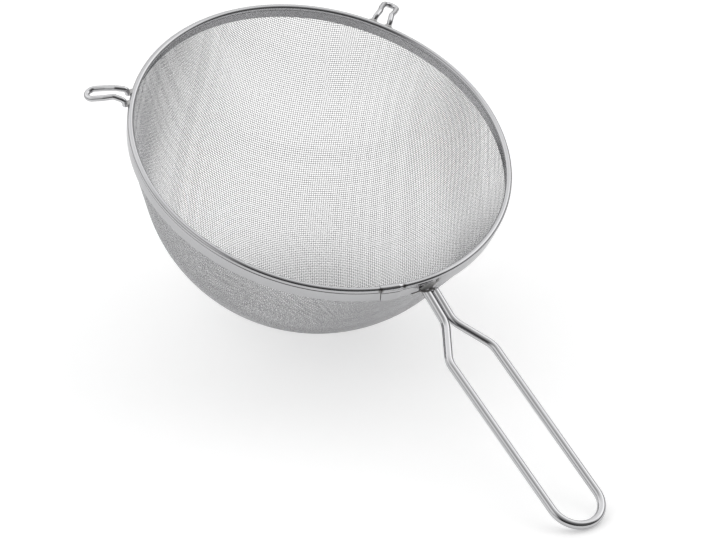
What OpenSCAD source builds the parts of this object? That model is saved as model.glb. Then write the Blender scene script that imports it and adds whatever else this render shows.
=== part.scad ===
// Mesh strainer: a deep bowl of woven steel wire, a rolled rim, a long handle of bent
// wire, and two wire rests opposite it that hook over the edge of a pot.
// The pieces are drawn round the rim: its axis is Z, its top lies at z = 0 and the
// handle points along X. seated() then lays the whole strainer on a table, standing on
// its bowl and on the end of its handle.

/* [Rim] */
// Outer diameter of the rolled rim
rim_d = 200; // [160:1:240]
// Diameter of the round core wire inside the rim
core_d = 2.2; // [1.6:0.1:3]
// Thickness of the steel strip that is rolled round the core wire
strip_t = 0.5; // [0.4:0.05:0.8]
// Length of the strip's outer skirt below the roll
skirt_len = 7.2; // [5:0.1:10]
// Lean of the skirt towards the axis, in degrees
skirt_lean = 3.5; // [0:0.5:18]
// Depth that the skirt is pinched in under the roll, which leaves a groove between them
pinch = 0.4; // [0.2:0.1:0.6]
// Distance that the inner lip, which holds the hem from inside, ends above the skirt's edge
lip_short = 0.8; // [0:0.1:2]
// Clearance between the core wire and the strip
roll_gap = 0.05; // [0.02:0.01:0.1]

/* [Lap seam] */
// Direction of the seam's middle, in degrees from the handle
seam_at = -13.5; // [-60:1:-8]
// Length of the lap where the two ends of the strip lie over each other
lap_len = 10; // [5:0.5:20]
// Distance that the upper end of the strip stands past the lower one at its edges
lap_proud = 0.2; // [0.1:0.05:0.5]

/* [Bowl] */
// Depth of the bowl, from the top of the rim to the outside of its bottom
bowl_depth = 101; // [90:1:125]
// Lean of the bowl's wall below the rim, in degrees
bowl_lean = 22; // [14:1:28]
// Thickness of the mesh, drawn as a sheet
mesh_t = 0.4; // [0.3:0.05:0.8]
// Number of openings across the sheet, a coarse net that stands for the fine weave
net_count = 12; // [6:1:12]
// Share of the net's pitch that is open, as in the weave
net_open = 0.75; // [0.5:0.05:0.8]
// Direction of the net's bars, in degrees from the handle
net_turn = -34; // [-45:1:45]
// Height of the closed band between the skirt's edge and the net's openings
net_margin = 2; // [1:0.5:6]
// Clearance between the mesh and the rolled strip that holds it
hem_gap = 0.05; // [0.02:0.01:0.1]

/* [Handle] */
// Diameter of the handle's wire
handle_d = 4.5; // [3.5:0.1:6]
// Distance from the rim's axis to the outside of the handle's end
handle_reach = 249; // [200:1:320]
// Width over the outside of the handle's two legs
handle_w = 32; // [24:0.5:44]
// Depth of the handle's wire below the middle of the roll, where it meets the rim
handle_drop = 5.1; // [4:0.1:6]
// Length of the neck, where the two ends of the wire lie side by side
neck_len = 20.5; // [12:0.5:30]
// Clearance between the two wires of the neck
neck_gap = 0.1; // [0.05:0.05:1]
// Slope of the neck, in degrees
neck_slope = 13; // [0:0.5:20]
// Length along the handle in which the legs spread to their full width
spread_len = 20; // [16:0.5:40]
// Slope of the two legs, in degrees
leg_slope = 5.8; // [0:0.1:10]
// Radius of the bends that start and end the spread, on the wire's middle
spread_bend = 13; // [6:0.5:16]

/* [Rests] */
// Diameter of the rests' wire
rest_d = 3; // [2:0.1:4]
// Direction of the left rest, in degrees from the handle
left_rest_at = 131; // [110:0.5:160]
// Direction of the right rest, in degrees from the handle
right_rest_at = 127.5; // [110:0.5:160]
// Distance that a rest stands out from the rim
rest_reach = 23; // [19:0.5:40]
// Width over the outside of a rest's round end
rest_w = 10.4; // [9:0.1:16]
// Width over the outside of a rest's waist
waist_w = 9.4; // [8:0.1:14]
// Distance from the rim to the waist, where a rest bends down to hook over a pot
waist_at = 8; // [7:0.5:9]
// Distance from the rim to the place where a rest is at its full width
shoulder_at = 13; // [12:0.5:14]
// Width over the outside of a rest's two feet, against the roll
foot_w = 11.4; // [9:0.1:14]
// Depth of a foot's end below the middle of the roll
foot_drop = 1.5; // [1.5:0.1:6]
// Height of the rests' wire above the middle of the roll, where it leaves the feet
rest_rise = 1.5; // [1.5:0.1:4]
// Slope of a rest beyond its waist, in degrees
hook_slope = 24; // [10:1:40]
// Radius of the bends in a rest, on the wire's middle
rest_bend = 3; // [2.5:0.1:3.5]

/* [Welds] */
// Clearance between the skirt and the wires that are welded to it
weld_gap = 0.05; // [0.02:0.01:0.1]

/* [Smoothness] */
// Facets of a full turn of the rim and the bowl
ring_fn = 180; // [90:10:240]
// Facets round a wire
wire_fn = 32; // [16:4:48]
// Straight steps round the roll in the strip's cross section
roll_steps = 22; // [12:1:30]
// Straight steps in the curve of the bowl, from its wall to its middle
bowl_steps = 17; // [12:1:40]
// Growth of a wire's radius in its bends, so that each straight ends inside its bend
bend_growth = 0.03; // [0.02:0.01:0.05]
// Length of a straight that reaches into its bend
bend_lap = 0.2; // [0.1:0.05:0.3]

/* [Hidden] */

rim_r = rim_d / 2;
core_r = core_d / 2;
bore_r = core_r + roll_gap;
bead_r = bore_r + strip_t;
// Middle of the roll in the rim's cross section, x from the axis and y up
roll = [rim_r - bead_r, -bead_r];

// Point p turned by angle a about the origin
function turned(p, a) = [p.x * cos(a) - p.y * sin(a), p.x * sin(a) + p.y * cos(a)];
// Outward normal of a wall that leans towards the axis by angle a going down
function wall_normal(a) = [cos(a), -sin(a)];
// An arc of radius r round the origin, from angle a to angle b, in n straight steps
function arc(r, a, b, n) = [for (i = [0 : n]) turned([r, 0], a + (b - a) * i / n)];
// Where two walls meet inside, a thickness t behind their outer corner
function inner_corner(corner, a, b, t) =
    corner - t * (wall_normal(a) + wall_normal(b)) / (1 + wall_normal(a) * wall_normal(b));

// The hem of the mesh stands between the skirt and the lip, right under the core wire
hem_out = bore_r - pinch - hem_gap;
hem_in = hem_out - mesh_t;
hem_top = sqrt(pow(core_r, 2) - pow(max(0, hem_in), 2)) + hem_gap;
hem_outer_end = roll + turned([hem_out, -hem_top], -skirt_lean);
hem_inner_end = roll + turned([hem_in, -hem_top], -skirt_lean);
// The bowl's wall leaves the skirt's lower edge and runs straight into a round bottom
wall_top = roll + turned([hem_out, -skirt_len], -skirt_lean);
wall_top_inner = inner_corner(wall_top, skirt_lean, bowl_lean, mesh_t);
bowl_r = (wall_top * wall_normal(bowl_lean) - bowl_depth * sin(bowl_lean)) / (1 - sin(bowl_lean));
bowl_z = bowl_r - bowl_depth;
// The net's openings are square as seen along the axis, out to this distance from it
net_r = wall_top.x - net_margin * tan(bowl_lean) - mesh_t;
net_pitch = 2 * net_r / net_count;
net_side = net_pitch * net_open;

// Outer face of the skirt in the rim's cross section, at height y from the roll's middle
function skirt_face(y) = roll.x + (bead_r - pinch + y * sin(skirt_lean)) / cos(skirt_lean);
skirt_edge = roll + turned([bead_r - pinch, -skirt_len], -skirt_lean);
// Direction from the roll's middle to the groove, on a layer of radius r
function groove_at(r) = -skirt_lean - acos((r - pinch) / r);
// The same on the inner side, for a lip whose face lies d beyond the roll's middle
function inner_groove_at(r, d) = 360 - skirt_lean - acos(d / r);

leg_y = (handle_w - handle_d) / 2;
neck_y = (handle_d + neck_gap) / 2;
// Middle of the round end of the handle
end_x = handle_reach - handle_d / 2 - leg_y * cos(leg_slope);
// Height of the handle's wire at distance x from the rim's axis
function neck_z(x) = roll.y - handle_drop - (x - rim_r) * tan(neck_slope);
spread_x = rim_r + neck_len;
function leg_z(x) = neck_z(spread_x) - (x - spread_x) * tan(leg_slope);

waist_x = rim_r + waist_at;
rest_y = (rest_w - rest_d) / 2;
rest_end_x = rim_r + rest_reach - rest_d / 2 - rest_y * cos(hook_slope);
// Height of a rest's wire at distance x from the rim's axis
function rest_z(x) = roll.y + rest_rise - max(0, x - waist_x) * tan(hook_slope);
// Distance from the rim's axis to the wire of a foot, at height y from the roll's middle
function foot_x(y) =
    roll.x + (bead_r + weld_gap + rest_d / 2 + y * sin(skirt_lean)) / cos(skirt_lean);

// The strainer rocks forward on its bowl until the end of the handle meets the table
tip = [end_x + leg_y * cos(leg_slope), leg_z(end_x) - leg_y * sin(leg_slope)];
tip_reach = norm([tip.x, tip.y - bowl_z]);
seat_tilt = asin((bowl_r - handle_d / 2) / tip_reach) + atan2(tip.y - bowl_z, tip.x);
front_x = tip.x * cos(seat_tilt) + tip.y * sin(seat_tilt) + handle_d / 2;
back_x = max(skirt_edge.x * cos(seat_tilt) - skirt_edge.y * sin(seat_tilt),
    roll.x * cos(seat_tilt) - roll.y * sin(seat_tilt) + bead_r);
seat_x = (back_x - front_x) / 2;
seat_z = bowl_r - bowl_z * cos(seat_tilt);

function unit(v) = v / norm(v);
function turn_between(u, w) = acos(u * w);
// Distance from a corner of the wire's path to where its bend of radius r starts
function bend_start(a, p, b, r) = r * tan(turn_between(unit(p - a), unit(b - p)) / 2);

// A straight wire from a to b, reaching a little past both
module straight_wire(a, b, d) {
    v = b - a;
    translate(a)
        rotate([0, acos(v.z / norm(v)), atan2(v.y, v.x)])
            translate([0, 0, -bend_lap])
                cylinder(h = norm(v) + 2 * bend_lap, d = d, $fn = wire_fn);
}

// A bend of a wire in the XY plane, from the X axis round by an angle
module wire_arc(angle, r, d) {
    rotate_extrude(angle = angle, $fn = ring_fn)
        translate([r, 0]) circle(d = d + 2 * bend_growth, $fn = wire_fn);
}

// The bend of radius r at corner p of a wire that comes from a and goes on to b
module wire_bend(a, p, b, r, d) {
    u = unit(p - a);
    w = unit(b - p);
    m = unit(w - (w * u) * u);
    n = cross(u, m);
    c = p - bend_start(a, p, b, r) * u + r * m;
    multmatrix([
        [-m.x, u.x, n.x, c.x],
        [-m.y, u.y, n.y, c.y],
        [-m.z, u.z, n.z, c.z],
        [0, 0, 0, 1]
    ])
        wire_arc(turn_between(u, w), r, d);
}

// A wire along points, bent to radius r at each corner
module bent_wire(points, r, d) {
    last = len(points) - 1;
    inset = [
        for (i = [0 : last])
            i == 0 || i == last ? 0 : bend_start(points[i - 1], points[i], points[i + 1], r)
    ];
    for (i = [1 : last]) {
        u = unit(points[i] - points[i - 1]);
        straight_wire(points[i - 1] + inset[i - 1] * u, points[i] - inset[i] * u, d);
    }
    for (i = [1 : last - 1])
        wire_bend(points[i - 1], points[i], points[i + 1], r, d);
}

// A half ring of wire that closes a loop, x along the loop and sloping down
module loop_end(x, z, r, slope, d) {
    translate([x, 0, z])
        rotate([0, slope, 0])
            rotate(-90) wire_arc(180, r, d);
}

// The space inside the band's outer face, which the handle's wire is cut to meet
module rim_space() {
    low = -skirt_len - handle_d;
    high = bead_r + weld_gap;
    rotate_extrude($fn = ring_fn)
        polygon(concat(
            [[roll.x - handle_d, roll.y + low], [skirt_face(low) + weld_gap, roll.y + low]],
            [for (p = arc(high, groove_at(high), 90, roll_steps)) roll + p],
            [[roll.x - handle_d, roll.y + high]]
        ));
}

// Cross section of a strip rolled from radius inner to outer: a skirt outside, a lip inside
// whose faces lie at lip_in and lip_out from the roll's middle, both hanging from the roll
module strip_section(inner, outer, lip_in, lip_out, skirt, lip) {
    translate(roll)
        polygon(concat(
            [turned([outer - pinch, -skirt], -skirt_lean)],
            arc(outer, groove_at(outer), inner_groove_at(outer, lip_in), roll_steps),
            [turned([lip_in, -lip], -skirt_lean), turned([lip_out, -lip], -skirt_lean)],
            arc(inner, inner_groove_at(inner, lip_out), groove_at(inner), roll_steps),
            [turned([inner - pinch, -skirt], -skirt_lean)]
        ));
}

// The closed sheet of the bowl, from its hem to its bottom
module bowl_sheet() {
    centre = [0, bowl_z];
    rotate_extrude($fn = ring_fn)
        polygon(concat(
            [hem_outer_end, wall_top],
            [for (p = arc(bowl_r, -bowl_lean, -90, bowl_steps)) centre + p],
            [for (p = arc(bowl_r - mesh_t, -90, -bowl_lean, bowl_steps)) centre + p],
            [wall_top_inner, hem_inner_end]
        ));
}

// The net's openings, as square rods along the axis inside a round outline
module net_openings() {
    sliver = net_side / 6;
    places = [for (i = [0 : net_count - 1]) (i - (net_count - 1) / 2) * net_pitch];
    intersection() {
        translate([0, 0, -bowl_depth - 1]) cylinder(h = bowl_depth, r = net_r, $fn = ring_fn);
        for (x = places, y = places) {
            near = [max(0, abs(x) - net_side / 2), max(0, abs(y) - net_side / 2)];
            if (norm(near) < net_r - sliver)
                translate([x - net_side / 2, y - net_side / 2, -bowl_depth - 2])
                    cube([net_side, net_side, bowl_depth + 2]);
        }
    }
}

module mesh_bowl() {
    color([0.72, 0.73, 0.74])
        difference() {
            bowl_sheet();
            rotate(net_turn) net_openings();
        }
}

module rim_band() {
    lap_turn = lap_len / rim_r * 180 / PI;
    lip_out = hem_in - hem_gap;
    lip_in = lip_out - strip_t;
    lip_len = skirt_len - lip_short;
    color([0.82, 0.83, 0.84]) {
        rotate_extrude($fn = ring_fn)
            strip_section(bore_r, bead_r, lip_in, lip_out, skirt_len, lip_len);
        rotate_extrude(angle = lap_turn, start = seam_at - lap_turn / 2, $fn = ring_fn)
            strip_section(bore_r + strip_t / 2, bead_r + strip_t, lip_in - strip_t,
                lip_out - strip_t / 2, skirt_len + lap_proud, lip_len + lap_proud);
    }
}

module rim_wire() {
    color([0.62, 0.63, 0.64])
        rotate_extrude($fn = ring_fn)
            translate(roll) circle(r = core_r, $fn = wire_fn);
}

module handle_wire() {
    color([0.82, 0.83, 0.84])
        difference() {
            union() {
                for (side = [-1, 1])
                    bent_wire([
                        [roll.x, side * neck_y, neck_z(roll.x)],
                        [spread_x, side * neck_y, neck_z(spread_x)],
                        [spread_x + spread_len, side * leg_y, leg_z(spread_x + spread_len)],
                        [end_x, side * leg_y, leg_z(end_x)]
                    ], spread_bend, handle_d);
                loop_end(end_x, leg_z(end_x), leg_y, leg_slope, handle_d);
            }
            rim_space();
        }
}

// A pot rest, drawn along X like the handle
module rest_loop() {
    foot_y = (foot_w - rest_d) / 2;
    waist_y = (waist_w - rest_d) / 2;
    shoulder_x = rim_r + shoulder_at;
    for (side = [-1, 1])
        bent_wire([
            [foot_x(-foot_drop), side * foot_y, roll.y - foot_drop],
            [foot_x(rest_rise), side * foot_y, rest_z(foot_x(rest_rise))],
            [waist_x, side * waist_y, rest_z(waist_x)],
            [shoulder_x, side * rest_y, rest_z(shoulder_x)],
            [rest_end_x, side * rest_y, rest_z(rest_end_x)]
        ], rest_bend, rest_d);
    loop_end(rest_end_x, rest_z(rest_end_x), rest_y, hook_slope, rest_d);
}

module rest_loop_left() {
    color([0.82, 0.83, 0.84]) rotate(-left_rest_at) rest_loop();
}

module rest_loop_right() {
    color([0.82, 0.83, 0.84]) rotate(right_rest_at) rest_loop();
}

// The strainer as it stands on a table, with the middle of its footprint at the origin
module seated() {
    translate([seat_x, 0, seat_z]) rotate([0, seat_tilt, 0]) children();
}

seated() mesh_bowl();
seated() rim_band();
seated() rim_wire();
seated() handle_wire();
seated() rest_loop_left();
seated() rest_loop_right();
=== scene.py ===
"""A mesh strainer of stainless steel, standing on its bowl and on the end of its handle."""

import math

import bpy
import numpy as np
from mathutils import Matrix, Vector


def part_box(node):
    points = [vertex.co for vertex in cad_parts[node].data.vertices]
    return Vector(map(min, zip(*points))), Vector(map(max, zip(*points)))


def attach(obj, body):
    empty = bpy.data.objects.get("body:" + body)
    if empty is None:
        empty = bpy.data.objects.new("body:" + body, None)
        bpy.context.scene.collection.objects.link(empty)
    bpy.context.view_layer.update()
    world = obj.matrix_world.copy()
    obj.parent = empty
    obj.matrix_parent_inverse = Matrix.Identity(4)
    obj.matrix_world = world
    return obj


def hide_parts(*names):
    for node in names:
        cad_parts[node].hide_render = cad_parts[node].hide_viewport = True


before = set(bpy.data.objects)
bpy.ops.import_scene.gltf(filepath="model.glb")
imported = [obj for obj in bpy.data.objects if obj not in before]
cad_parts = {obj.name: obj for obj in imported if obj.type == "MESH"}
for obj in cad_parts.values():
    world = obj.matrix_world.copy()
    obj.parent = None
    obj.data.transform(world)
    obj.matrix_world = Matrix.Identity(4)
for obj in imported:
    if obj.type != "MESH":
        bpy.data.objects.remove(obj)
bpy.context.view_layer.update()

BODY = "root"
MM = 0.001

# The camera, as the photograph was taken: its place, what it looks at, and its turn about its own axis
CAMERA_AT = Vector((1.2184, -0.9581, 1.0663))
CAMERA_LOOKS = Vector((-0.6653, 0.5100, -0.5452))
CAMERA_ROLL = math.radians(2.58)
CAMERA_LENS = 184.95
CAMERA_SENSOR = 36

# The rim, in its own space: its top lies at z = 0, its axis is Z and the handle points along X. Its strip is
# rolled round the core wire, and its two legs, the skirt outside and the lip inside, pinch the mesh below
CORE_R = 1.1 * MM
CORE_GAP = 0.05 * MM
STRIP_T = 0.5 * MM
BORE_R = CORE_R + CORE_GAP
BEAD_R = BORE_R + STRIP_T
SKIRT_LEN = 7.2 * MM
SKIRT_LEAN = math.radians(3.5)
LIP_SHORT = 0.8 * MM
PINCH = 0.4 * MM
LEDGE = 0.3 * MM
LEDGE_STEPS = 4
ROLL_STEPS = 60
RIM_STEPS = 480

# The lap, where the strip's upper end stands off the lower one, and the joggle, where it steps down to it
SEAM_AT = math.radians(-13.5)
LAP_LEN = 10 * MM
LAP_PROUD = 0.2 * MM
LAP_SINK = 0.04
LAP_STEPS = 40
JOGGLE_LEN = 3 * MM
CUT_SKEW = 0.2
# The burr along the lap's cut edge, coloured nearly black as painted shade
BURR_SHADE_R = 0.16 * MM
BURR_SHADE_TOP = 1.4 * MM

# The bowl, and the wire it is woven of
BOWL_DEPTH = 101 * MM
BOWL_LEAN = math.radians(22)
SHEET_T = 0.4 * MM
HEM_GAP = 0.05 * MM
MESH_PITCH = 1.15 * MM
MESH_WIRE_R = 0.14 * MM
MESH_RISE = 0.98 * MESH_WIRE_R
MESH_SIDES = 4
WEAVE_TURN = math.radians(-34)
WEAVE_PARTS = 4
DRAPE_ROUNDS = 8
TINY = 1e-9

# The handle
HANDLE_WIRE_R = 2.25 * MM
HANDLE_REACH = 249 * MM
HANDLE_W = 32 * MM
HANDLE_DROP = 5.1 * MM
HANDLE_SINK = 0.2 * MM
NECK_LEN = 20.5 * MM
NECK_GAP = 0.1 * MM
NECK_SLOPE = math.radians(13)
WIRE_END_SLANT = 0.8
SPREAD_LEN = 20 * MM
SPREAD_BEND = 13 * MM
LEG_SLOPE = math.radians(5.8)

# The rests
REST_WIRE_R = 1.5 * MM
LEFT_REST_AT = math.radians(-131)
RIGHT_REST_AT = math.radians(127.5)
REST_REACH = 23 * MM
REST_W = 10.4 * MM
WAIST_W = 9.4 * MM
WAIST_AT = 8 * MM
SHOULDER_AT = 13 * MM
FOOT_W = 11.4 * MM
FOOT_DROP = 1.5 * MM
REST_RISE = 1.5 * MM
HOOK_SLOPE = math.radians(24)
REST_BEND = 3 * MM
WELD_GAP = 0.05 * MM

# The welds: their half sizes out from the rim, round it and up, and their places down the skirt and round
# from the handle, or in radians up the roll. A wave of the uneven metal is its swell, and its turns along the
# lump and round it
NECK_WELD = Vector((0.9, 4.6, 2.3)) * MM
NECK_WELD_DOWN = 4.4 * MM
SIDE_WELD = Vector((0.7, 1.1, 2.0)) * MM
SIDE_WELD_ROUND = 5.625 * MM
FOOT_WELD = Vector((1.3, 2.3, 1.3)) * MM
FOOT_WELD_UP = 0.15
WELD_WAVES = ((0.1, 5, 2), (0.08, -7, 3))

# The dark weld scale on the neck, which also paints the shadow in the gap under the skirt's lower edge: its
# corners' places round the rim, and where it crosses the wires' cut ends
SCALE_SHADOW_R = 0.35 * MM
SCALE_SHADOW_ROUND = (-9.45 * MM, -4.95 * MM, -3.375 * MM, 1.35 * MM)
SCALE_SHADOW_OUT = 3.24 * MM
SCALE_SHADOW_UP = 1.9125 * MM

# Scorch marks and painted shade, in one dark colour: how far from their middle they start and end to fade,
# how strong they are, and how far up the roll the two patches at the lap are, in radians. Then the painted
# shade in the grooves
SCORCH_AND_SHADE = (0.12, 0.115, 0.11)
# The neck's mark is the weld's heat tint on the skirt round the handle, darkened further as painted shade
NECK_SCORCH_AND_SHADE = (3 * MM, 15 * MM)
NECK_SCORCH_AND_SHADE_STRENGTH = 0.2
# Dark patches on the roll at both ends of the lap
LAP_DARK_PATCH = (0.5 * MM, 2 * MM)
LAP_DARK_PATCH_STRENGTH = 0.9
CUT_PATCH_UP = 0.5
JOGGLE_PATCH_UP = 0.8
# Painted shade in both grooves, reaching onto the roll's underside beside them
GROOVE_SHADE_LEN = 1.2 * MM
GROOVE_SHADE_FADE = 0.15 * MM
GROOVE_SHADE_STRENGTH = 0.75

# What varies over the steel: features to a metre, how dark the darkest steel is, and the drawn lines' depth
NOISE_ROUGHNESS = 0.6
SMUDGES = 60
BLOTCHES = 500
PATCHES = 25
PATCH_SHARE = 0.6
GRAINS = 2500
GRAIN_WEAR = 0.1
SMUDGE_SHADE = 0.9
PATCH_SHADE = 0.88
DRAWN_LINES = (40, 9000, 0)
DRAWN_DEPTH = 0.002 * MM

# The light: which way is behind the object and to its right, as the camera sees it. Each side's brightness
# low down and half-way up is given by the turn to the right from straight behind, in degrees, and is half as
# much midway to the next side. The parts of the sky fade in between two heights, given as sines
BEHIND = Vector((-0.79, 0.61, 0))
RIGHT = Vector((BEHIND.y, -BEHIND.x, 0))
SKY_SIDES = {
    0: (1.0, 1.2),
    60: (0.4, 1.9),
    120: (0.1, 0.15),
    180: (0.05, 0.1),
    240: (0.8, 1.2),
    300: (1.0, 1.5),
}
SIDE_EDGE = 2 * math.cos(math.pi / len(SKY_SIDES)) - 1
SKY_LOW = (-0.02, 0.02)
SKY_MIDDLE = (0.3, 0.55)
SKY_TOP = (0.7, 0.9)
OVERHEAD_BACK = 1.3
OVERHEAD_FRONT = 0.5
OVERHEAD_TURN = (-0.3, 0.3)
SKY_BELOW = 0.4

# The table, and how much brighter it looks than it is lit, so that only the shadow stands out
FLOOR_HALF = 0.5
FLOOR_SHADE = 0.86
FLOOR_LIFT = 0.34

# The frame says how the strainer stands: the core wire is a ring, and its box gives the ring's tilt
core_low, core_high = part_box("rim_wire")
core_half = (core_high - core_low) / 2
SEAT_TILT = math.atan2(core_half.z - CORE_R, core_half.x - CORE_R)
RIM_R = core_half.y - CORE_R + BEAD_R
ROLL = Vector((RIM_R - BEAD_R, -BEAD_R))
SEAT = (
    Matrix.Translation((core_low + core_high) / 2)
    @ Matrix.Rotation(SEAT_TILT, 4, "Y")
    @ Matrix.Translation((0, 0, BEAD_R))
)

# What follows from the sizes: the hem's distances from the roll's middle, the lap's ends and the skirt's face
HEM_OUT = BORE_R - PINCH - HEM_GAP
HEM_IN = HEM_OUT - SHEET_T
HEM_TOP = math.sqrt(CORE_R**2 - HEM_IN**2) + HEM_GAP
LAP_START = SEAM_AT - LAP_LEN / RIM_R / 2
LAP_END = SEAM_AT + LAP_LEN / RIM_R / 2 + JOGGLE_LEN / RIM_R
SKIRT_X = ROLL.x + BEAD_R - PINCH


# Shader and geometry trees, written as expressions


class Value:
    """A socket that takes part in sums, each of which adds a Math node."""

    def __init__(self, tree, socket):
        self.tree = tree
        self.socket = socket

    def other(self, name):
        """Another output of the same node."""
        return Value(self.tree, self.socket.node.outputs[name])

    def combine(self, operation, *terms):
        return self.tree.node("ShaderNodeMath", {"operation": operation}, dict(enumerate(terms)))

    def __add__(self, term):
        return self.combine("ADD", self, term)

    def __radd__(self, term):
        return self.combine("ADD", term, self)

    def __sub__(self, term):
        return self.combine("SUBTRACT", self, term)

    def __rsub__(self, term):
        return self.combine("SUBTRACT", term, self)

    def __mul__(self, term):
        return self.combine("MULTIPLY", self, term)

    def __rmul__(self, term):
        return self.combine("MULTIPLY", term, self)

    def __truediv__(self, term):
        return self.combine("DIVIDE", self, term)

    def __pow__(self, term):
        return self.combine("POWER", self, term)

    def __or__(self, term):
        return self.combine("MAXIMUM", self, term)


class Tree:
    """A node tree that is built by one method."""

    def __init__(self, tree):
        self.tree = tree

    def node(self, kind, settings=None, values=None):
        """Adds a node with its settings and its sockets' values or links, and gives its first output."""
        node = self.tree.nodes.new(kind)
        for name, setting in (settings or {}).items():
            setattr(node, name, setting)
        for name, value in (values or {}).items():
            self.feed(node.inputs[name], value)
        return Value(self, node.outputs[0]) if node.outputs else node

    def feed(self, socket, value):
        if isinstance(value, Value):
            self.tree.links.new(value.socket, socket)
        else:
            socket.default_value = value

    def rise(self, value, start, end):
        """0 up to a start and 1 from an end, with a soft step between them."""
        return self.node(
            "ShaderNodeMapRange",
            {"interpolation_type": "SMOOTHSTEP"},
            {0: value, 1: start, 2: end, 3: 0, 4: 1},
        )

    def between(self, low, high, mask):
        """A colour between two, by a mask."""
        low, high = (colour if isinstance(colour, Value) else (*colour, 1) for colour in (low, high))
        return self.node("ShaderNodeMix", {"data_type": "RGBA"}, {0: mask, 6: low, 7: high}).other(2)


class Finish(Tree):
    """A procedural material on one shader, whose plain numbers are set on its own sockets."""

    def __init__(self, name, fixed):
        self.material = bpy.data.materials.new(name)
        self.material.use_nodes = True
        super().__init__(self.material.node_tree)
        self.shader = self.tree.nodes["Principled BSDF"]
        for socket, value in fixed.items():
            self.shader.inputs[socket].default_value = value
        coordinates = self.node("ShaderNodeTexCoord")
        self.place = coordinates.other("Object")
        self.uv = coordinates.other("UV")

    def drive(self, socket, value):
        self.feed(self.shader.inputs[socket], value)

    def noise(self, per_metre, detail):
        """Even noise from 0 to 1, with so many features to a metre."""
        return self.node(
            "ShaderNodeTexNoise",
            None,
            {"Vector": self.place, "Scale": per_metre, "Detail": detail, "Roughness": NOISE_ROUGHNESS},
        )

    def near(self, place, inner, outer):
        """1 close to a place, falling to 0 between two distances from it."""
        away = self.node("ShaderNodeVectorMath", {"operation": "DISTANCE"}, {0: self.place, 1: place})
        return 1 - self.rise(away.other("Value"), inner, outer)

    def bump(self, height, depth):
        normal = self.node("ShaderNodeBump", None, {"Height": height, "Distance": depth, "Strength": 1})
        self.drive("Normal", normal)


# Meshes that follow an outline or a path


def new_object(name, data):
    made = bpy.data.objects.new(name, data)
    bpy.context.scene.collection.objects.link(made)
    return made


def turned(point, angle):
    """A point of a cross section, turned about the origin."""
    x, y = point
    return Vector((x * math.cos(angle) - y * math.sin(angle), x * math.sin(angle) + y * math.cos(angle)))


def arc(radius, start, end, steps):
    return [turned((radius, 0), start + (end - start) * k / steps) for k in range(steps + 1)]


def make_piece(name, finish, points, faces, uvs, smooth_up_to=math.radians(35)):
    """A smooth mesh at its place in the frame, from points in the rim's space."""
    mesh = bpy.data.meshes.new(name)
    mesh.from_pydata([SEAT @ Vector(p) for p in points], [], faces)
    mesh.uv_layers.new(name="UVMap").data.foreach_set("uv", np.asarray(uvs, np.float32).ravel())
    mesh.polygons.foreach_set("use_smooth", [True] * len(mesh.polygons))
    mesh.set_sharp_from_angle(angle=smooth_up_to)
    mesh.materials.append(finish.material)
    return new_object(name, mesh)


def skin(rows, closed):
    """Points, faces and UVs in metres of a skin over closed rows of points.

    The last row is joined to the first one if the skin is closed, and otherwise both ends are capped.
    """
    rows = np.asarray(rows, float)
    count, around = rows.shape[:2]
    points = rows.reshape(-1, 3)
    steps = count if closed else count - 1
    edge = np.linalg.norm(np.roll(rows[0], -1, 0) - rows[0], axis=1)
    v = np.concatenate([[0], np.cumsum(edge)])
    middle = rows.mean(1)
    stride = np.linalg.norm(np.roll(middle, -1, 0) - middle, axis=1)
    u = np.concatenate([[0], np.cumsum(stride)])
    faces, uvs = [], []
    for i in range(steps):
        here, there = i * around, (i + 1) % count * around
        for k in range(around):
            after = (k + 1) % around
            faces.append((here + k, there + k, there + after, here + after))
            uvs += [(u[i], v[k]), (u[i + 1], v[k]), (u[i + 1], v[k + 1]), (u[i], v[k + 1])]
    if not closed:
        faces.append(tuple(range(around)))
        faces.append(tuple(range(count * around - 1, (count - 1) * around - 1, -1)))
        uvs += [(0, 0)] * (2 * around)
    return points, faces, uvs


def tube(name, path, radius, finish, sides, slant=0):
    """A round wire along a path, whose two ends may be cut back towards their upper side."""
    path = [Vector(p) for p in path]
    count = len(path)
    rows = []
    across = None
    for i, point in enumerate(path):
        before = path[i - 1] if i else point
        after = path[i + 1] if i < count - 1 else point
        along = (after - before).normalized()
        if across is None:
            across = along.orthogonal().normalized()
        across = (across - along * across.dot(along)).normalized()
        up = along.cross(across)
        turns = [-2 * math.pi * k / sides for k in range(sides)]
        rows.append([point + (across * math.cos(a) + up * math.sin(a)) * radius for a in turns])
    for row, centre, inward in ((rows[0], path[0], path[1]), (rows[-1], path[-1], path[-2])):
        along = (inward - centre).normalized()
        row[:] = [p + along * slant * (p.z - centre.z + radius) for p in row]
    return make_piece(name, finish, *skin(rows, False))


def bent_path(corners, radius, steps=14):
    """A path of straights whose corners are bent to a radius."""
    corners = [Vector(c) for c in corners]
    path = [corners[0]]
    for before, corner, after in zip(corners, corners[1:], corners[2:]):
        into = (corner - before).normalized()
        out = (after - corner).normalized()
        turn = into.angle(out)
        side = (out - into * into.dot(out)).normalized()
        start = corner - into * radius * math.tan(turn / 2)
        for k in range(steps + 1):
            a = turn * k / steps
            path.append(start + into * radius * math.sin(a) + side * radius * (1 - math.cos(a)))
    path.append(corners[-1])
    return path


def loop_path(half, bend, end, end_r, slope, steps=40):
    """A wire's path from half of it: out along one side, round the end of the loop and back on the other."""
    out = bent_path(half, bend)
    middle = Vector((end[0], 0, end[1]))
    along = Vector((math.cos(slope), 0, -math.sin(slope)))
    turn = [
        middle + along * end_r * math.sin(a) + Vector((0, end_r * math.cos(a), 0))
        for a in (math.pi * k / steps for k in range(1, steps))
    ]
    back = [Vector((p.x, -p.y, p.z)) for p in reversed(out)]
    return out + turn + back


# The rim band


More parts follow.
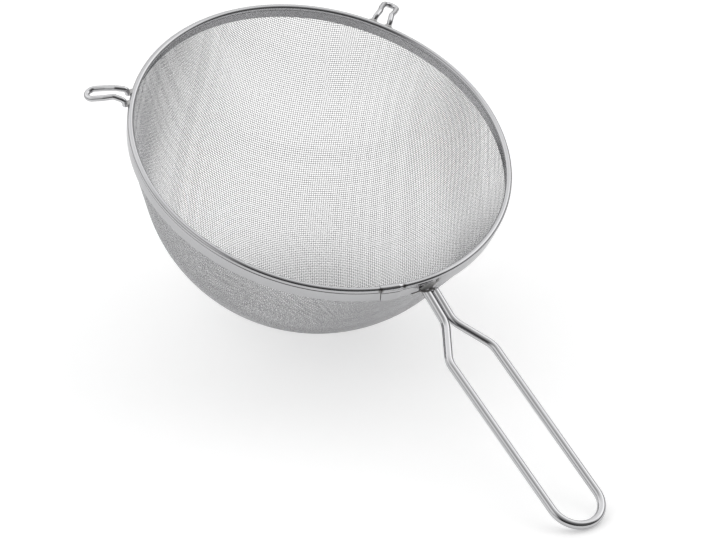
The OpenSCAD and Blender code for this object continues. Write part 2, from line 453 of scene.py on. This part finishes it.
def band_outline(proud=0, lift=0, bore=BORE_R):
    """The strip's cross section: skirt, ledge, roll and lip, and back along its inner face.

    The lap's layer starts from a wider bore, stands proud at both edges and is lifted off the layer below.
    """
    outer = BEAD_R + lift
    skirt = SKIRT_LEN + proud
    lip = SKIRT_LEN - LIP_SHORT + proud
    lip_back = HEM_IN - HEM_GAP - (bore - BORE_R)
    lip_face = HEM_IN - HEM_GAP - STRIP_T - lift

    def leaning(points):
        return [turned(p, -SKIRT_LEAN) for p in points]

    def skirt_groove(radius, pinch):
        return -SKIRT_LEAN - math.acos((radius - pinch) / radius)

    def lip_groove(radius, face):
        return 2 * math.pi - SKIRT_LEAN - math.acos(face / radius)

    ledge_top = math.sqrt(outer**2 - (outer - PINCH - LEDGE) ** 2)
    ledge = [
        (outer - PINCH - LEDGE * (1 - share), -ledge_top - LEDGE * share**2)
        for share in (k / LEDGE_STEPS for k in range(LEDGE_STEPS, 0, -1))
    ]
    section = (
        leaning([(outer - PINCH, -skirt)] + ledge)
        + arc(outer, skirt_groove(outer, PINCH + LEDGE), lip_groove(outer, lip_face), ROLL_STEPS)
        + leaning([(lip_face, -lip), (lip_back, -lip)])
        + arc(bore, lip_groove(bore, lip_back), skirt_groove(bore, PINCH), ROLL_STEPS)
        + leaning([(bore - PINCH, -skirt)])
    )
    return [ROLL + p for p in section]


def groove_shade_spans():
    """From where to where each groove, and the roll's underside beside it, is painted with shade, along the
    outline from the skirt's edge.
    """
    outline = band_outline()
    steps = [(b - a).length for a, b in zip(outline, outline[1:])]
    skirt_groove = sum(steps[: LEDGE_STEPS + 1])
    lip_groove = sum(steps[: LEDGE_STEPS + 1 + ROLL_STEPS])
    return (skirt_groove, skirt_groove + GROOVE_SHADE_LEN), (lip_groove - GROOVE_SHADE_LEN, lip_groove + GROOVE_SHADE_FADE)


def round_rim(outline, at, skew=0):
    """A cross section's points at an angle round the rim, which may be skewed as they go down."""
    turns = [at - skew * p.y / RIM_R for p in outline]
    return [(p.x * math.cos(a), p.x * math.sin(a), p.y) for p, a in zip(outline, turns)]


def skirt_place(down, round_y):
    """A place on the skirt's outer face, so far below the roll's middle and so far round from the handle."""
    place = ROLL + turned((BEAD_R - PINCH, -down), -SKIRT_LEAN)
    return Vector(round_rim([place], round_y / RIM_R)[0])


def roll_place(up, at):
    """A place on the roll's outer face, turned so far up and standing at an angle round the rim."""
    return Vector(round_rim([ROLL + turned((BEAD_R, 0), up)], at)[0])


def make_rim_band(finish):
    outline = band_outline()
    rows = [round_rim(outline, 2 * math.pi * k / RIM_STEPS) for k in range(RIM_STEPS)]
    return make_piece("rim_band_roll", finish, *skin(rows, True))


def make_rim_lap(finish):
    """The strip's upper end, which lies over the lower one and steps down to it."""
    rows = []
    for k in range(LAP_STEPS + 1):
        share = k / LAP_STEPS
        at = LAP_START + (LAP_END - LAP_START) * share
        height = min(1, max(0, (LAP_END - at) / (JOGGLE_LEN / RIM_R)))
        lift = STRIP_T * ((1 + LAP_SINK) * height**2 * (3 - 2 * height) - LAP_SINK)
        outline = band_outline(LAP_PROUD * height, lift, BORE_R + STRIP_T / 2)
        rows.append(round_rim(outline, at, CUT_SKEW * (1 - share)))
    return make_piece("rim_band_lap", finish, *skin(rows, False))


def make_burr_shade(finish):
    """The burr where the lap's strip is cut off, down its skirt, coloured nearly black as painted shade along
    the cut edge.
    """
    out = BEAD_R - PINCH + STRIP_T / 2
    ends = [ROLL + turned((out, -down), -SKIRT_LEAN) for down in (BURR_SHADE_TOP, SKIRT_LEN)]
    return tube("rim_band_burr_shade", round_rim(ends, LAP_START, CUT_SKEW), BURR_SHADE_R, finish, sides=8)


# The bowl's weave: a ball that runs on into a straight wall, which ends in the rim's fold

WALL_TOP = ROLL + turned((HEM_OUT, -SKIRT_LEN), -SKIRT_LEAN)
WALL_OUT = Vector((math.cos(BOWL_LEAN), -math.sin(BOWL_LEAN)))
BALL_OUTER_R = (WALL_TOP.dot(WALL_OUT) - BOWL_DEPTH * math.sin(BOWL_LEAN)) / (1 - math.sin(BOWL_LEAN))
BALL_Z = BALL_OUTER_R - BOWL_DEPTH
BALL_R = BALL_OUTER_R - SHEET_T / 2
BALL_LENGTH = BALL_R * (math.pi / 2 - BOWL_LEAN)
WALL_FOOT = Vector((0, BALL_Z)) + WALL_OUT * BALL_R
HEM_END_Z = ROLL.y - HEM_TOP


def bowl_meridian(length):
    """Distance from the axis and height of the mesh's middle, a length up from the bowl's lowest point."""
    if length <= BALL_LENGTH:
        a = length / BALL_R
        return BALL_R * math.sin(a), BALL_Z - BALL_R * math.cos(a)
    over = length - BALL_LENGTH
    return WALL_FOOT.x + over * math.sin(BOWL_LEAN), WALL_FOOT.y + over * math.cos(BOWL_LEAN)


def bowl_surface(points):
    """How far points lie outside the mesh's middle, and the outward normal there."""
    out = np.hypot(points[:, 0], points[:, 1])
    out = np.maximum(out, TINY)
    height = points[:, 2] - BALL_Z
    reach = np.hypot(out, height)
    in_ball = height * WALL_OUT.x - out * WALL_OUT.y < 0
    wall = (out - WALL_FOOT.x) * WALL_OUT.x + (points[:, 2] - WALL_FOOT.y) * WALL_OUT.y
    ball_normal = np.column_stack([points[:, :2], height]) / reach[:, None]
    wall_normal = np.column_stack([points[:, :2] / out[:, None] * WALL_OUT.x, np.full(len(out), WALL_OUT.y)])
    return np.where(in_ball, reach - BALL_R, wall), np.where(in_ball[:, None], ball_normal, wall_normal)


def drape_quarter(cells):
    """Crossings of a quarter of the weave, laid on the bowl at one pitch along every wire.

    The two wires through the bottom run straight up the bowl. Each further crossing lies a pitch from two
    earlier ones, so the squares keep their sides and shear between the straight wires, as in pressed mesh.
    """
    net = np.full((cells, cells, 3), np.nan)
    for k in range(cells):
        out, height = bowl_meridian(k * MESH_PITCH)
        net[k, 0] = out, 0, height
        net[0, k] = 0, out, height
    for diagonal in range(2, 2 * cells - 1):
        i = np.arange(max(1, diagonal - cells + 1), min(cells, diagonal))
        j = diagonal - i
        left, right = net[i - 1, j], net[i, j - 1]
        on = np.isfinite(left[:, 0]) & np.isfinite(right[:, 0])
        on &= np.minimum(left[:, 2], right[:, 2]) < HEM_END_Z
        i, j, left, right = i[on], j[on], left[on], right[on]
        if not len(i):
            continue
        place = left + right - net[i - 1, j - 1]
        for _ in range(DRAPE_ROUNDS):
            off, normal = bowl_surface(place)
            too_far = [((place - end) ** 2).sum(1) - MESH_PITCH**2 for end in (left, right)]
            miss = np.stack([*too_far, off], 1)
            slopes = np.stack([2 * (place - left), 2 * (place - right), normal], 1)
            place = place - np.linalg.solve(slopes, miss[..., None])[..., 0]
        net[i, j] = place
    return net


def whole_net(quarter):
    """The four quarters of the weave, each the mirror of its neighbours."""
    half = np.concatenate([quarter[:0:-1] * (-1, 1, 1), quarter])
    return np.concatenate([half[:, :0:-1] * (1, -1, 1), half], 1)


def tuck_hem(points):
    """Brings the wires' ends above the skirt's lower edge into the fold of the rim."""
    out = np.hypot(points[..., 0], points[..., 1])
    hem = WALL_TOP.x - SHEET_T / 2 + (points[..., 2] - WALL_TOP.y) * math.tan(SKIRT_LEAN)
    inside = np.where(points[..., 2] > WALL_TOP.y, np.minimum(out, hem), out)
    scale = inside / np.maximum(out, TINY)
    return points * np.stack([scale, scale, np.ones_like(scale)], -1)


def weave_tree():
    """Turns rows of crossings into wires: lifts each crossing to its side, and gives the rows a section."""
    tree = bpy.data.node_groups.new("weave", "GeometryNodeTree")
    interface = tree.interface
    interface.new_socket("Geometry", in_out="INPUT", socket_type="NodeSocketGeometry")
    for name, kind in (
        ("Wire radius", "NodeSocketFloat"),
        ("Rise", "NodeSocketFloat"),
        ("Sides", "NodeSocketInt"),
        ("Steel", "NodeSocketMaterial"),
    ):
        interface.new_socket(name, in_out="INPUT", socket_type=kind)
    interface.new_socket("Geometry", in_out="OUTPUT", socket_type="NodeSocketGeometry")
    make = Tree(tree)
    given = make.node("NodeGroupInput")
    lift = make.node("GeometryNodeInputNamedAttribute", {"data_type": "FLOAT_VECTOR"}, {"Name": "lift"})
    offset = make.node(
        "ShaderNodeVectorMath", {"operation": "SCALE"}, {0: lift, "Scale": given.other("Rise")}
    )
    rows = make.node("GeometryNodeSetPosition", None, {"Geometry": given, "Offset": offset})
    wires = make.node("GeometryNodeMeshToCurve", None, {"Mesh": rows})
    section = make.node(
        "GeometryNodeCurvePrimitiveCircle",
        None,
        {"Resolution": given.other("Sides"), "Radius": given.other("Wire radius")},
    )
    woven = make.node(
        "GeometryNodeCurveToMesh", None, {"Curve": wires, "Profile Curve": section, "Fill Caps": True}
    )
    smooth = make.node("GeometryNodeSetShadeSmooth", None, {"Geometry": woven})
    steel = make.node("GeometryNodeSetMaterial", None, {"Geometry": smooth, "Material": given.other("Steel")})
    done = make.node("GeometryNodeRealizeInstances", None, {"Geometry": steel})
    make.node("NodeGroupOutput", None, {"Geometry": done})
    return tree


def bake(piece, name):
    """The piece with its modifiers applied, as a plain mesh of its own."""
    evaluated = piece.evaluated_get(bpy.context.evaluated_depsgraph_get())
    mesh = bpy.data.meshes.new_from_object(evaluated)
    mesh.name = name
    bpy.data.objects.remove(piece)
    return new_object(name, mesh)


def wire_rows(net, lift):
    """The wires along the net's first axis, each as its crossings and their lifts, cut at the hem."""
    rows = []
    for k in range(net.shape[1]):
        line, side = net[:, k], lift[:, k]
        on = np.flatnonzero(np.isfinite(line[:, 0]) & (line[:, 2] < HEM_END_Z))
        if len(on) < 2:
            continue
        rows.append((line[on[0] : on[-1] + 1], side[on[0] : on[-1] + 1]))
    return rows


def make_weave(name, rows, tree, finish):
    """A group of wires, from their rows of crossings."""
    mesh = bpy.data.meshes.new(name + "_rows")
    points = np.concatenate([line for line, _ in rows])
    sides = np.concatenate([side for _, side in rows])
    ends = np.cumsum([len(line) for line, _ in rows])
    edges = [(k, k + 1) for k in range(len(points) - 1) if k + 1 not in ends]
    spin = np.array(SEAT @ Matrix.Rotation(WEAVE_TURN, 4, "Z"))
    mesh.from_pydata(tuck_hem(points) @ spin[:3, :3].T + spin[:3, 3], edges, [])
    lift = mesh.attributes.new("lift", "FLOAT_VECTOR", "POINT")
    lift.data.foreach_set("vector", (sides @ spin[:3, :3].T).astype(np.float32).ravel())
    rows_piece = new_object(name + "_rows", mesh)
    modifier = rows_piece.modifiers.new("weave", "NODES")
    modifier.node_group = tree
    values = {"Wire radius": MESH_WIRE_R, "Rise": MESH_RISE, "Sides": MESH_SIDES, "Steel": finish.material}
    for socket in tree.interface.items_tree:
        if socket.in_out == "INPUT" and socket.name in values:
            modifier[socket.identifier] = values[socket.name]
    return bake(rows_piece, name)


def make_bowl(finish):
    """Warp and weft of the bowl, each in a few parts."""
    reach = BALL_LENGTH + (HEM_END_Z - WALL_FOOT.y) / math.cos(BOWL_LEAN)
    net = whole_net(drape_quarter(math.ceil(reach / MESH_PITCH) + 2))
    size = len(net)
    normal = bowl_surface(np.nan_to_num(net.reshape(-1, 3)))[1].reshape(net.shape)
    over = np.where(np.add.outer(np.arange(size), np.arange(size)) % 2, 1.0, -1.0)[..., None]
    warp = wire_rows(net, normal * over)
    weft = wire_rows(net.swapaxes(0, 1), -(normal * over).swapaxes(0, 1))
    tree = weave_tree()
    pieces = []
    for kind, rows in (("warp", warp), ("weft", weft)):
        for part, share in enumerate(np.array_split(np.arange(len(rows)), WEAVE_PARTS)):
            pieces.append(make_weave(f"woven_{kind}_{part + 1}", [rows[k] for k in share], tree, finish))
    return pieces


# The handle and the rests


def neck_z(x):
    return ROLL.y - HANDLE_DROP - (x - RIM_R) * math.tan(NECK_SLOPE)


def leg_z(x):
    spread_x = RIM_R + NECK_LEN
    return neck_z(spread_x) - (x - spread_x) * math.tan(LEG_SLOPE)


def make_handle(finish):
    neck_y = HANDLE_WIRE_R + NECK_GAP / 2
    leg_y = HANDLE_W / 2 - HANDLE_WIRE_R
    start_x = SKIRT_X - HANDLE_SINK
    spread_x = RIM_R + NECK_LEN
    end_x = HANDLE_REACH - HANDLE_WIRE_R - leg_y * math.cos(LEG_SLOPE)
    half = [
        (start_x, neck_y, neck_z(start_x)),
        (spread_x, neck_y, neck_z(spread_x)),
        (spread_x + SPREAD_LEN, leg_y, leg_z(spread_x + SPREAD_LEN)),
        (end_x, leg_y, leg_z(end_x)),
    ]
    path = loop_path(half, SPREAD_BEND, (end_x, leg_z(end_x)), leg_y, LEG_SLOPE)
    return tube("handle_wire_loop", path, HANDLE_WIRE_R, finish, sides=40, slant=WIRE_END_SLANT)


def make_rest(name, at, finish):
    rest_y = REST_W / 2 - REST_WIRE_R
    waist_y = WAIST_W / 2 - REST_WIRE_R
    foot_y = FOOT_W / 2 - REST_WIRE_R
    waist_x = RIM_R + WAIST_AT
    shoulder_x = RIM_R + SHOULDER_AT
    end_x = RIM_R + REST_REACH - REST_WIRE_R - rest_y * math.cos(HOOK_SLOPE)

    def rest_z(x):
        return ROLL.y + REST_RISE - max(0, x - waist_x) * math.tan(HOOK_SLOPE)

    def foot_x(y):
        out = BEAD_R + WELD_GAP + REST_WIRE_R
        return ROLL.x + (out + y * math.sin(SKIRT_LEAN)) / math.cos(SKIRT_LEAN)

    half = [
        (foot_x(-FOOT_DROP), foot_y, ROLL.y - FOOT_DROP),
        (foot_x(REST_RISE), foot_y, rest_z(foot_x(REST_RISE))),
        (waist_x, waist_y, rest_z(waist_x)),
        (shoulder_x, rest_y, rest_z(shoulder_x)),
        (end_x, rest_y, rest_z(end_x)),
    ]
    spin = Matrix.Rotation(at, 4, "Z")
    path = [spin @ p for p in loop_path(half, REST_BEND, (end_x, rest_z(end_x)), rest_y, HOOK_SLOPE)]
    return tube(name, path, REST_WIRE_R, finish, sides=32)


# The welds


def make_weld(name, centre, half, finish, rings=14, sides=24):
    """A flat, uneven lump of weld metal."""
    spin = Matrix.Rotation(math.atan2(centre.y, centre.x), 4, "Z")
    rows = []
    for i in range(1, rings):
        a = math.pi * i / rings
        row = []
        for k in range(sides):
            b = 2 * math.pi * k / sides
            swell = 1 + sum(part * math.sin(along * a + around * b) for part, along, around in WELD_WAVES)
            out = Vector((math.sin(a) * math.cos(b), -math.cos(a), math.sin(a) * math.sin(b))) * swell
            row.append(centre + spin @ Vector((out.x * half.x, out.y * half.y, out.z * half.z)))
        rows.append(row)
    return make_piece(name, finish, *skin(rows, False))


def make_handle_welds(bright, dark):
    """The weld over the wires' cut ends, a lump on its right, and the dark weld scale along its lower edge,
    which also paints the shadow in the gap under the skirt's lower edge.
    """
    cut_x = SKIRT_X + SCALE_SHADOW_OUT
    cut_z = neck_z(SKIRT_X) + SCALE_SHADOW_UP
    start, bend, first_wire, second_wire = SCALE_SHADOW_ROUND
    # The dark scale's path, which is also painted shadow in the gap under the skirt's lower edge
    scale = [
        skirt_place(SKIRT_LEN - SCALE_SHADOW_R, start),
        skirt_place(SKIRT_LEN - 2 * SCALE_SHADOW_R, bend),
        (cut_x, first_wire, cut_z),
        (cut_x, second_wire, cut_z),
    ]
    return [
        make_weld("handle_weld", skirt_place(NECK_WELD_DOWN, 0), NECK_WELD, bright),
        make_weld("handle_weld_side", skirt_place(SIDE_WELD.z, SIDE_WELD_ROUND), SIDE_WELD, bright),
        tube("handle_weld_scale_shadow", scale, SCALE_SHADOW_R, dark, sides=8),
    ]


def make_foot_welds(name, at, finish):
    foot = (FOOT_W / 2 - REST_WIRE_R) / RIM_R
    places = {"near": roll_place(FOOT_WELD_UP, at - foot), "far": roll_place(FOOT_WELD_UP, at + foot)}
    return [make_weld(f"{name}_{side}", place, FOOT_WELD, finish) for side, place in places.items()]


# Finishes


def rim_marks_and_shade(steel, colour):
    """A colour with the weld's heat tint at the neck, darkened further as painted shade, dark patches at both
    ends of the lap, and painted shade in both grooves.
    """
    blotch = steel.noise(BLOTCHES, detail=3)
    # The neck's heat tint, darkened further as painted shade, and the dark patches at the lap's ends
    for place, reach, strength in (
        (skirt_place(HANDLE_DROP, 0), NECK_SCORCH_AND_SHADE, NECK_SCORCH_AND_SHADE_STRENGTH),
        (roll_place(CUT_PATCH_UP, LAP_START), LAP_DARK_PATCH, LAP_DARK_PATCH_STRENGTH),
        (roll_place(JOGGLE_PATCH_UP, LAP_END), LAP_DARK_PATCH, LAP_DARK_PATCH_STRENGTH),
    ):
        darkening = steel.near(SEAT @ place, *reach) * strength * (0.5 + blotch)
        colour = steel.between(colour, SCORCH_AND_SHADE, darkening)
    section = steel.node("ShaderNodeSeparateXYZ", None, {0: steel.uv}).other("Y")
    # Painted shade in both grooves and on the roll's underside beside them
    for start, end in groove_shade_spans():
        entered = steel.rise(section, start - GROOVE_SHADE_FADE, start + GROOVE_SHADE_FADE)
        left = steel.rise(section, end - GROOVE_SHADE_FADE, end + GROOVE_SHADE_FADE)
        colour = steel.between(colour, SCORCH_AND_SHADE, entered * (1 - left) * GROOVE_SHADE_STRENGTH)
    return colour


def drawn_finish(name, shade, roughness, wear, marks_and_shade=None):
    """Steel that is drawn or polished along its length: fine lines, soft smudges and uneven gloss."""
    steel = Finish(name, {"Metallic": 1.0, "Roughness": roughness})
    smudge = steel.noise(SMUDGES, detail=3)
    colour = steel.between([part * SMUDGE_SHADE for part in shade], shade, smudge)
    steel.drive("Base Color", marks_and_shade(steel, colour) if marks_and_shade else colour)
    stretched = steel.node("ShaderNodeVectorMath", {"operation": "MULTIPLY"}, {0: steel.uv, 1: DRAWN_LINES})
    lines = steel.node("ShaderNodeTexNoise", None, {"Vector": stretched, "Scale": 1, "Detail": 2})
    steel.drive("Roughness", roughness + (smudge - 0.5) * wear + (lines - 0.5) * wear)
    steel.bump(lines, DRAWN_DEPTH)
    return steel


def grainy_finish(name, shade, roughness, metal=1.0):
    """Steel with a fine grain, a little duller here and there."""
    steel = Finish(name, {"Metallic": metal, "Roughness": roughness})
    patches = steel.noise(PATCHES, detail=2)
    grain = steel.noise(GRAINS, detail=1)
    mask = patches * PATCH_SHARE + grain * (1 - PATCH_SHARE)
    steel.drive("Base Color", steel.between([part * PATCH_SHADE for part in shade], shade, mask))
    steel.drive("Roughness", roughness + (grain - 0.5) * GRAIN_WEAR)
    return steel


polished_steel = drawn_finish("polished_steel", shade=(0.54, 0.54, 0.55), roughness=0.1, wear=0.06)
# The rim's colour carries the neck's heat tint with painted shade, dark patches at the lap's ends and painted
# shade in the grooves
rim_steel_with_shade = drawn_finish("rim_steel_with_shade", shade=(0.49, 0.49, 0.5), roughness=0.15, wear=0.06, marks_and_shade=rim_marks_and_shade)
woven_steel = grainy_finish("woven_steel", shade=(0.58, 0.58, 0.59), roughness=0.26)
core_steel = grainy_finish("core_steel", shade=(0.6, 0.6, 0.61), roughness=0.35)
weld_steel = grainy_finish("weld_steel", shade=(0.62, 0.615, 0.61), roughness=0.45, metal=0.1)
# Nearly black: weld scale, and painted shade along the lap's cut edge and in the gap under the skirt's edge
# at the neck
scale_and_shade_steel = grainy_finish("scale_and_shade_steel", shade=(0.16, 0.155, 0.15), roughness=0.5)


# The strainer: each node's pieces, which take its place

pieces = {
    "mesh_bowl": make_bowl(woven_steel),
    "rim_band": [make_rim_band(rim_steel_with_shade), make_rim_lap(rim_steel_with_shade), make_burr_shade(scale_and_shade_steel)],
    "handle_wire": [make_handle(polished_steel), *make_handle_welds(weld_steel, scale_and_shade_steel)],
    "rest_loop_left": [
        make_rest("rest_wire_left", LEFT_REST_AT, polished_steel),
        *make_foot_welds("rest_weld_left", LEFT_REST_AT, weld_steel),
    ],
    "rest_loop_right": [
        make_rest("rest_wire_right", RIGHT_REST_AT, polished_steel),
        *make_foot_welds("rest_weld_right", RIGHT_REST_AT, weld_steel),
    ],
}
for node, parts in pieces.items():
    for part in parts:
        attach(part, BODY)
        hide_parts(node)
        "woven_steel" if node == "mesh_bowl" else "polished_steel"

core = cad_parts["rim_wire"]
core.data.materials.clear()
core.data.materials.append(core_steel.material)


# The table, the light and the camera


def make_floor():
    mesh = bpy.data.meshes.new("table_top")
    corners = [(x * FLOOR_HALF, y * FLOOR_HALF, 0) for x, y in ((-1, -1), (1, -1), (1, 1), (-1, 1))]
    mesh.from_pydata(corners, [], [(0, 1, 2, 3)])
    fixed = {"Base Color": (*[FLOOR_SHADE] * 3, 1), "Roughness": 0.9, "Emission Strength": 1.0}
    white = Finish("white_table", fixed)
    rays = white.node("ShaderNodeLightPath")
    seen = rays.other("Is Camera Ray") | rays.other("Is Glossy Ray") | rays.other("Is Transmission Ray")
    white.drive("Emission Color", white.between((0, 0, 0), (FLOOR_LIFT,) * 3, seen))
    mesh.materials.append(white.material)
    new_object("table_top", mesh)


def make_world():
    """White where the camera looks; on the object, a sky whose brightness differs by side and by height."""
    world = bpy.data.worlds.new("studio")
    world.use_nodes = True
    bpy.context.scene.world = world
    sky = Tree(world.node_tree)
    way = sky.node("ShaderNodeTexCoord")

    def along(direction):
        """How far the ray points along a direction."""
        dot = sky.node("ShaderNodeVectorMath", {"operation": "DOT_PRODUCT"}, {0: way, 1: direction})
        return dot.other("Value")

    height = along((0, 0, 1))
    # A little over 1, so that the level part of a ray straight up isn't zero
    flat = (1.0001 - height * height) ** 0.5
    above = sky.rise(height, *SKY_LOW)
    middle = sky.rise(height, *SKY_MIDDLE)
    top = sky.rise(height, *SKY_TOP)
    back = sky.rise(along(BEHIND), *OVERHEAD_TURN)
    overhead = OVERHEAD_FRONT + back * (OVERHEAD_BACK - OVERHEAD_FRONT)
    bright = (1 - above) * SKY_BELOW + top * overhead
    for turn, (low, mid) in SKY_SIDES.items():
        side = BEHIND * math.cos(math.radians(turn)) + RIGHT * math.sin(math.radians(turn))
        facing = sky.rise(along(side) / flat, SIDE_EDGE, 1)
        bright = bright + facing * (above * (1 - middle) * low + middle * (1 - top) * mid)
    colour = sky.node("ShaderNodeCombineColor", None, {0: bright, 1: bright, 2: bright})
    camera_ray = sky.node("ShaderNodeLightPath").other("Is Camera Ray")
    background = world.node_tree.nodes["Background"]
    sky.feed(background.inputs["Color"], sky.between(colour, (1, 1, 1), camera_ray))
    background.inputs["Strength"].default_value = 1


def make_camera():
    lens = bpy.data.cameras.new("camera")
    lens.sensor_width = CAMERA_SENSOR
    lens.lens = CAMERA_LENS
    camera = new_object("camera", lens)
    aim = CAMERA_LOOKS.to_track_quat("-Z", "Y").to_matrix().to_4x4()
    camera.matrix_world = Matrix.Translation(CAMERA_AT) @ aim @ Matrix.Rotation(CAMERA_ROLL, 4, "Z")
    bpy.context.scene.camera = camera


make_camera()
make_floor()
make_world()
bpy.context.scene.view_settings.view_transform = "Standard"
